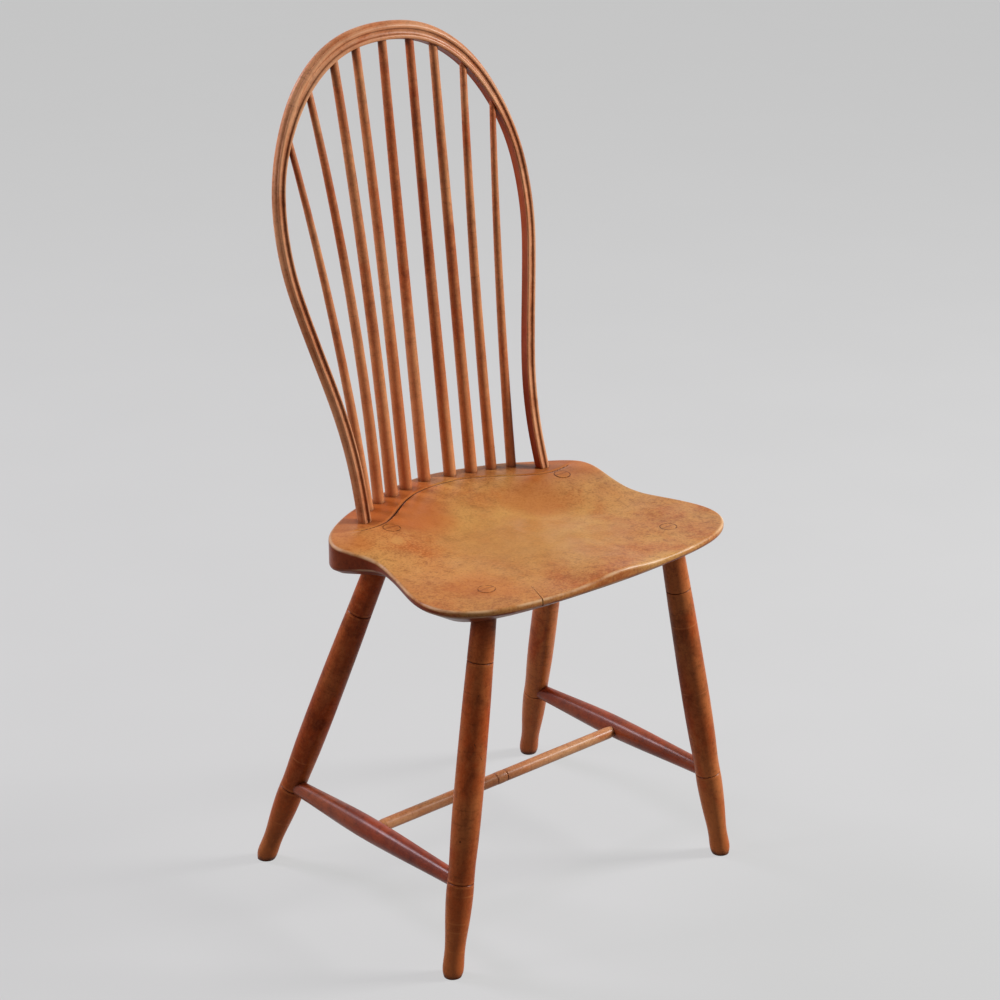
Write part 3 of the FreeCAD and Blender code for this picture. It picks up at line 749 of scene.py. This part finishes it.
# How strongly each layer of a tone shows and at what scale, then the sheen and the hand work.
TURNED = {
    "patch_scale": 15.0,
    "stretch": 0.4,
    "warmth": 0.7,
    "smoke_scale": 30.0,
    "smoke": 0.42,
    "mottle_scale": 110.0,
    "mottle": 0.36,
    "grit": 0.16,
    "fibre": 0.14,
    "lathe": 0.24,
    "gloss": 0.27,
    "specular": 0.08,
    "coat": 0.03,
    "bump": 0.3,
    "work_scale": 26.0,
    "work_depth": 0.0012,
}
POLISHED = dict(TURNED, gloss=0.30, specular=0.20, coat=0.14, smoke=0.3, bump=0.06, work_depth=0.0006)
SHAVED = dict(
    TURNED,
    patch_scale=18.0,
    smoke=0.3,
    fibre=0.2,
    specular=0.2,
    coat=0.08,
    work_scale=34.0,
    work_depth=0.0010,
)
BOW_LOOK = dict(SHAVED, specular=0.12, coat=0.06, gloss=0.30)
SEAT_LOOK = dict(
    TURNED,
    patch_scale=7.0,
    stretch=0.8,
    smoke_scale=17.0,
    smoke=0.36,
    mottle_scale=85.0,
    mottle=0.46,
    grit=0.34,
    fibre=0.10,
    lathe=0.0,
    gloss=0.28,
    specular=0.12,
    coat=0.06,
    work_scale=12.0,
    work_depth=0.0014,
)

LEG_PALETTE = four_tones((64, 18, 5), (160, 70, 28), (200, 116, 62), (180, 72, 22))
STRETCHER_PALETTE = four_tones((50, 16, 10), (126, 46, 24), (166, 82, 44), (164, 62, 20))
CENTRE_PALETTE = four_tones((120, 62, 32), (186, 116, 70), (214, 158, 110), (188, 108, 56))
SPINDLE_PALETTE = four_tones((92, 32, 12), (178, 94, 48), (212, 142, 92), (184, 86, 36))
BOW_PALETTE = four_tones((84, 32, 14), (186, 106, 60), (222, 160, 116), (190, 98, 46))
SEAT_PALETTE = four_tones((122, 60, 26), (194, 126, 68), (210, 154, 86), (186, 98, 42))
# The seat's edge and underside: their darker finish together with painted shade.
WALL_AND_SHADE_PALETTE = four_tones((56, 16, 4), (122, 44, 14), (146, 68, 30), (130, 44, 10))
TENON_LINE = colour(84, 36, 14)
# Dark red painted shade for the bow's face towards the spindles.
INNER_FACE_SHADE = colour(150, 58, 24)
# A pale colour for the painted highlight along the seat's rim.
RIM_HIGHLIGHT = colour(238, 196, 150)
HONEY = colour(206, 154, 80)
DARK_LINE = colour(34, 13, 6)


# The honey-coloured middle of the seat: where, and from what distance to what distance it fades.
HONEY_MIDDLE = ((0.005, -0.045, 0), 0.20, 0.09)
# A small pale dent in front of the deck, given in the same way.
DENT = ((-0.134, 0.012, 0), 0.011, 0.004)
# Places on the seat that kept a redder finish: where, how far they reach, and how strongly.
ORANGE_PATCHES = (
    ((0.075, 0.02, 0), 0.05, 0.45),
    ((-0.08, 0.095, 0), 0.09, 0.75),
    ((0.15, 0.07, 0), 0.07, 0.6),
    ((-0.15, -0.12, 0), 0.06, 0.45),
    ((-0.18, 0.03, 0), 0.04, 0.5),
)


def ring_mark(tree, along, where, half_width):
    """1 on a turned line at the given distance along a piece, fading to 0 beside it."""
    away = tree.math("ABSOLUTE", tree.math("SUBTRACT", along, where * MM))
    return tree.band(away, half_width * MM * 1.5, half_width * MM * 0.5)


def stroke_mark(tree, place, start, end, half_width):
    """1 on a short straight scratch between two points of the surface."""
    start, end = Vector(start) * MM, Vector(end) * MM
    along = end - start
    reach = along.length
    offset = tree.shifted(place, -start)
    along.normalize()
    walked = tree.add("VectorMath", {0: offset, 1: along}, operation="DOT_PRODUCT").outputs["Value"]
    held = tree.math("MAXIMUM", tree.math("MINIMUM", walked, reach), 0.0)
    nearest = tree.add("VectorMath", {0: along, 3: held}, operation="SCALE").outputs[0]
    away = tree.distance(offset, nearest)
    return tree.band(away, half_width * MM * 1.6, half_width * MM * 0.5)


def seat_tone(tree, place):
    """The top of the seat: honey in the middle, orange towards the back, and the faint rings of
    the four leg tenons. The tenons' own ends take the same tone."""
    grain = tree.shifted(place, (0.3, 0.1, 0.2))
    tone, relief = aged_tone(tree, grain, place, SEAT_PALETTE, SEAT_LOOK)
    flat = tree.scaled(place, (1, 1, 0))
    wander = tree.times(tree.noise(place, 9.0, 3.0), 0.10)
    spot, far, near = HONEY_MIDDLE
    middle = tree.band(tree.math("ADD", tree.distance(flat, spot), wander), far, near)
    tone = tree.mix(tree.times(middle, 0.5), tone, HONEY)
    for spot, reach, share in ORANGE_PATCHES:
        away = tree.math("ADD", tree.distance(flat, spot), wander)
        patch = tree.band(away, reach + 0.05, reach * 0.6 + 0.04)
        tone = tree.mix(tree.times(patch, share), tone, SEAT_PALETTE.warm)
    spot, far, near = DENT
    dent = tree.band(tree.distance(flat, spot), far, near)
    tone = tree.mix(tree.times(dent, 0.6), tone, SEAT_PALETTE.light)
    broken = tree.band(tree.noise(place, 240.0, 2.0), 0.32, 0.50)
    for name in LEGS:
        across = tree.scaled(leg_grain(name)(tree), (1, 1, 0))
        radius = tree.distance(across, (0, 0, 0))
        line = ring_mark(tree, radius, TENON_RADIUS, TENON_LINE_HALF_WIDTH)
        tone = tree.mix(tree.times(tree.times(line, broken), 0.9), tone, TENON_LINE)
    return tone, relief


def seat_material():
    """The seat's top tone where it faces up, and below it the darker tone of its edge and underside,
    which is partly their darker finish and partly painted shade.
    """
    tree = Tree("seat_finish")
    place = tree.place()
    grain = attribute_grain(tree)
    top, relief = seat_tone(tree, place)
    # The edge and underside tone: darker finish together with painted shade.
    side, _ = aged_tone(tree, grain, place, WALL_AND_SHADE_PALETTE, dict(TURNED, lathe=0.0))
    normal = tree.add("NewGeometry").outputs["Normal"]
    facing = tree.axis(normal, "Z")
    forward = tree.axis(place, "Y")
    at_front = tree.band(forward, -0.11, -0.18)
    # At the front the top's tone comes further down over the edge.
    lowest = tree.add("Mix", {0: at_front, 2: 0.15, 3: -0.45}, data_type="FLOAT").outputs[0]
    above = tree.math("SUBTRACT", facing, lowest)
    # Painted shade by facing: surfaces that turn from upwards to sideways and down take the darker tone.
    tone = tree.mix(tree.band(above, 0.0, 0.6), side, top)
    # Painted shadow of the spindles: the deck behind the carved line is darkened a little.
    tone = tree.mix(tree.times(attribute_value(tree, "deck"), 0.28), tone, WALL_AND_SHADE_PALETTE.middle)
    # Painted highlight along the rounded rim, broken up by noise.
    wear_and_highlight = attribute_value(tree, "wear_and_highlight")
    rim_highlight = tree.times(wear_and_highlight, tree.band(tree.noise(place, 30.0, 4.0), 0.35, 0.6))
    tone = tree.mix(tree.times(rim_highlight, 0.75), tone, RIM_HIGHLIGHT)
    # Painted shade in the corners.
    tone = corner_shaded(tree, tone, SEAT_PALETTE)
    groove = tree.band(attribute_value(tree, "groove"), 0.18, 0.75)
    tone = tree.mix(tree.times(groove, 0.92), tone, DARK_LINE)
    return finish(tree, tone, relief, grain, place, SEAT_LOOK)


def bow_material():
    """Moulded wood: the beads paler, from rubbed wear together with painted highlight, and painted shade
    in dark red on the face towards the spindles.
    """
    tree = Tree("bow_finish")
    place = tree.place()
    grain = attribute_grain(tree)
    tone, relief = aged_tone(tree, grain, place, BOW_PALETTE, BOW_LOOK)
    # The beads made paler: rubbed wear together with painted highlight.
    paler_share = tree.times(attribute_value(tree, "wear_and_highlight"), tree.band(tree.noise(place, 22.0, 4.0), 0.3, 0.6))
    tone = tree.mix(tree.times(paler_share, 0.7), tone, BOW_PALETTE.light)
    # Painted shade in the corners, weaker than on the other pieces.
    tone = corner_shaded(tree, tone, BOW_PALETTE, 0.35)
    groove = tree.band(attribute_value(tree, "groove"), 0.4, 1.0)
    tone = tree.mix(tree.times(groove, 0.4), tone, BOW_PALETTE.deep)
    # Painted shade on the bow's face towards the spindles.
    inner = tree.times(attribute_value(tree, "inner"), 0.85)
    tone = tree.mix(inner, tone, INNER_FACE_SHADE)
    return finish(tree, tone, relief, grain, place, BOW_LOOK)


# Turned lines that are rubbed pale, by distance along each leg, beside its two scribed rings.
PALE_RINGS = {
    "front_leg_right": (31.0, 54.0, 64.5, 96.8),
    "front_leg_left": (40.0, 227.3, 315.5),
    "rear_leg_right": (60.0, 151.7),
    "rear_leg_left": (70.0, 300.0),
}
# From this distance to this one along a leg, its foot grows paler, by this share.
FOOT_PALING = (0.16, 0.02, 0.45)
# A scribed ring has a pale line this far above and below it.
RING_SHOULDER = 2.6
PALE_HALF_WIDTH = 0.9
SCRIBED_HALF_WIDTH = 0.5
# Scratches and dents: start, end and half of the width.
SCRATCHES = {
    "front_leg_right": (
        ((-163.3, -158.2, 322.0), (-154.3, -160.2, 331.7), 0.5),
        ((-172.9, -162.5, 269.4), (-166.4, -167.1, 250.2), 0.45),
        ((-195.9, -165.1, 159.8), (-195.7, -165.1, 160.4), 0.9),
    ),
}


def leg_material(name, seed):
    """A turned leg with its scribed and rubbed rings, its scratches and its paler foot."""
    tree = Tree(name + "_wood")
    place = tree.place()
    grain = leg_grain(name)(tree)
    shifted = tree.shifted(grain, (seed * 0.37, seed * 0.11, seed * 0.53))
    tone, relief = aged_tone(tree, shifted, place, LEG_PALETTE, TURNED)
    along = tree.axis(grain, "Z")
    low_ring = LEGS[name][2]
    above_paling, foot, paler_share = FOOT_PALING
    tone = tree.mix(tree.band(along, above_paling, foot, 0.0, paler_share), tone, LEG_PALETTE.light)
    broken = tree.band(tree.noise(place, 90.0, 2.0), 0.36, 0.58)
    scribed = (low_ring, UPPER_RING)
    beside = [ring + side for ring in scribed for side in (-RING_SHOULDER, RING_SHOULDER)]
    for where in (*PALE_RINGS[name], *beside):
        line = ring_mark(tree, along, where, PALE_HALF_WIDTH)
        tone = tree.mix(tree.times(tree.times(line, broken), 0.6), tone, LEG_PALETTE.light)
    for where in scribed:
        line = ring_mark(tree, along, where, SCRIBED_HALF_WIDTH)
        tone = tree.mix(tree.times(line, 0.7), tone, DARK_LINE)
    for start, end, half_width in SCRATCHES.get(name, ()):
        line = stroke_mark(tree, place, start, end, half_width)
        tone = tree.mix(tree.times(line, 0.75), tone, DARK_LINE)
    # Painted shade in the corners.
    tone = corner_shaded(tree, tone, LEG_PALETTE)
    height = tree.axis(place, "Z")
    tone = tree.mix(tree.band(height, *TENON_END), tone, seat_tone(tree, place)[0])
    return finish(tree, tone, relief, shifted, place, TURNED)


def wedge_material(name, seed):
    """The end of a wedge is a little darker than the seat round it."""
    tree = Tree(name + "_wood")
    place = tree.place()
    tone, relief = seat_tone(tree, place)
    fibre = tree.noise(tree.shifted(place, (seed * 0.1, 0.2, 0.3)), 500.0, 3.0)
    tone = tree.mix(tree.band(fibre, 0.35, 0.65, 0.25, 0.55), tone, SEAT_PALETTE.deep)
    return finish(tree, tone, relief, place, place, SEAT_LOOK)


# Spindles grow paler between these heights in metres, by this share.
SPINDLE_PALING = (0.80, 0.50, 0.45)


def plain_material(name, palette, look, seed, paling=None):
    """A stretcher or spindle, made paler towards the seat when heights and a share for that are given.
    """
    tree = Tree(name + "_wood")
    place = tree.place()
    grain = node_grain(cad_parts[name])(tree)
    shifted = tree.shifted(grain, (seed * 0.37, seed * 0.11, seed * 0.53))
    tone, relief = aged_tone(tree, shifted, place, palette, look)
    if paling:
        high, low, share = paling
        height = tree.axis(place, "Z")
        uneven = tree.math("ADD", height, tree.times(tree.noise(place, 12.0, 3.0), 0.14))
        tone = tree.mix(tree.times(tree.band(uneven, high, low), share), tone, palette.light)
    # Painted shade in the corners.
    tone = corner_shaded(tree, tone, palette)
    return finish(tree, tone, relief, shifted, place, look)


def dress(name, material):
    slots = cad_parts[name].data.materials
    slots.clear()
    slots.append(material)


def paint_frame_nodes():
    """Each piece has its own seed, so that no two show the same grain."""
    for seed, name in enumerate(LEGS):
        dress(name, leg_material(name, seed + 1.0))
        dress("wedge_" + name, wedge_material("wedge_" + name, seed + 5.0))
    for seed, name in enumerate(("side_stretcher_right", "side_stretcher_left")):
        dress(name, plain_material(name, STRETCHER_PALETTE, POLISHED, seed + 11.0))
    dress("centre_stretcher", plain_material("centre_stretcher", CENTRE_PALETTE, POLISHED, 14.0))
    for seed in range(1, 10):
        name = f"spindle_{seed}"
        dress(name, plain_material(name, SPINDLE_PALETTE, SHAVED, seed + 20.0, SPINDLE_PALING))
    for seed, name in enumerate(("wedge_bow_right", "wedge_bow_left")):
        dress(name, wedge_material(name, seed + 31.0))


# Studio


# The photograph's viewpoint, fitted to the feet, the seat and the bow. The focal length is in
# widths of the picture, and the camera looks down and to the right by the two angles in degrees.
SENSOR_WIDTH = 36.0
FOCAL_LENGTH = 2.517
CAMERA_PLACE = (-1.7325, -2.0048, 1.4952)
LOOKS_DOWN = 21.381
LOOKS_RIGHT = 40.903

# Each soft box: where it stands, what it faces, its width and height, watts, tint and spread.
CHAIR_MIDDLE = (0, 0, 0.5)
UPPER_BACK = (0, 0.15, 0.95)
LAMPS = {
    "key": ((2.5, -1.68, 2.05), CHAIR_MIDDLE, (0.8, 1.1), 126, (1.0, 1.0, 1.0), 180),
    "back": ((-1.0, 2.1, 2.6), CHAIR_MIDDLE, (0.8, 0.8), 50, (0.94, 0.87, 1.0), 180),
    "left": ((-2.1, 0.95, 1.7), UPPER_BACK, (0.5, 0.9), 2.5, (1.0, 0.9, 0.94), 60),
}

BACKDROP = (0.80, 0.80, 0.80, 1)
FILL = (0.10, 0.10, 0.10, 1)
PAPER_DARK = (0.28, 0.28, 0.28, 1)
PAPER_LIGHT = (0.30, 0.30, 0.30, 1)
PAPER_SEEN = (0.92, 0.92, 0.92, 1)
PAPER_SEEN_SHARE = 0.58
FLOOR_REACH = 30.0


def make_camera():
    lens = bpy.data.cameras.new("camera")
    lens.sensor_width = SENSOR_WIDTH
    lens.lens = FOCAL_LENGTH * SENSOR_WIDTH
    camera = bpy.data.objects.new("camera", lens)
    camera.location = CAMERA_PLACE
    camera.rotation_euler = (math.radians(90 - LOOKS_DOWN), 0, math.radians(-LOOKS_RIGHT))
    bpy.context.scene.collection.objects.link(camera)
    bpy.context.scene.camera = camera


def make_lights():
    for name, (place, target, size, watts, tint, spread) in LAMPS.items():
        light = bpy.data.lights.new(name, "AREA")
        light.shape = "RECTANGLE"
        light.size, light.size_y = size
        light.energy = watts
        light.color = tint
        light.spread = math.radians(spread)
        lamp = bpy.data.objects.new(name, light)
        lamp.location = place
        direction = Vector(target) - lamp.location
        lamp.rotation_euler = direction.to_track_quat("-Z", "Y").to_euler()
        bpy.context.scene.collection.objects.link(lamp)


def seen_directly(nodes, links):
    """1 for rays from the camera and for reflected and refracted ones."""
    path = nodes.new("ShaderNodeLightPath")
    seen = path.outputs["Is Camera Ray"]
    for ray in ("Is Glossy Ray", "Is Transmission Ray"):
        larger = nodes.new("ShaderNodeMath")
        larger.operation = "MAXIMUM"
        links.new(seen, larger.inputs[0])
        links.new(path.outputs[ray], larger.inputs[1])
        seen = larger.outputs[0]
    return seen


def make_world():
    """A pale backdrop for what is seen directly, and a weak even light for the rest."""
    world = bpy.data.worlds.new("studio")
    bpy.context.scene.world = world
    world.use_nodes = True
    nodes, links = world.node_tree.nodes, world.node_tree.links
    nodes.clear()
    backdrop = nodes.new("ShaderNodeBackground")
    backdrop.inputs["Color"].default_value = BACKDROP
    lighting = nodes.new("ShaderNodeBackground")
    lighting.inputs["Color"].default_value = FILL
    blend = nodes.new("ShaderNodeMixShader")
    output = nodes.new("ShaderNodeOutputWorld")
    links.new(seen_directly(nodes, links), blend.inputs[0])
    links.new(lighting.outputs[0], blend.inputs[1])
    links.new(backdrop.outputs[0], blend.inputs[2])
    links.new(blend.outputs[0], output.inputs["Surface"])


def make_floor():
    """Pale paper that keeps the chair's shadow; seen directly, its own pale colour joins in."""
    mesh = bpy.data.meshes.new("floor")
    corners = [(x * FLOOR_REACH, y * FLOOR_REACH, 0) for x, y in ((-1, -1), (1, -1), (1, 1), (-1, 1))]
    mesh.from_pydata(corners, [], [(0, 1, 2, 3)])
    floor = bpy.data.objects.new("floor", mesh)
    bpy.context.scene.collection.objects.link(floor)
    tree = Tree("floor_paper")
    paper = tree.noise(tree.place(), 3.0, 3.0)
    tone = tree.mix(tree.band(paper, 0.3, 0.7), PAPER_DARK, PAPER_LIGHT)
    lit = tree.add("BsdfPrincipled", {"Base Color": tone, "Roughness": 0.9, "Specular IOR Level": 0.1})
    pale = tree.add("Emission", {"Color": PAPER_SEEN, "Strength": 1.0})
    share = tree.times(seen_directly(tree.nodes, tree.links), PAPER_SEEN_SHARE)
    blend = tree.add("MixShader", {0: share, 1: lit.outputs[0], 2: pale.outputs[0]})
    output = tree.add("OutputMaterial")
    tree.links.new(blend.outputs[0], output.inputs["Surface"])
    mesh.materials.append(tree.material)


# Making


def main():
    make_camera()
    make_world()
    make_lights()
    make_floor()
    paint_frame_nodes()

    seat = make_seat()
    seat.data.materials.clear()
    seat.data.materials.append(seat_material())
    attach(seat, "root")
    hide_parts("seat")

    bow = make_bow()
    bow.data.materials.append(bow_material())
    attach(bow, "root")
    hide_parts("bow")


main()
bpy.context.scene.view_settings.view_transform = "Standard"
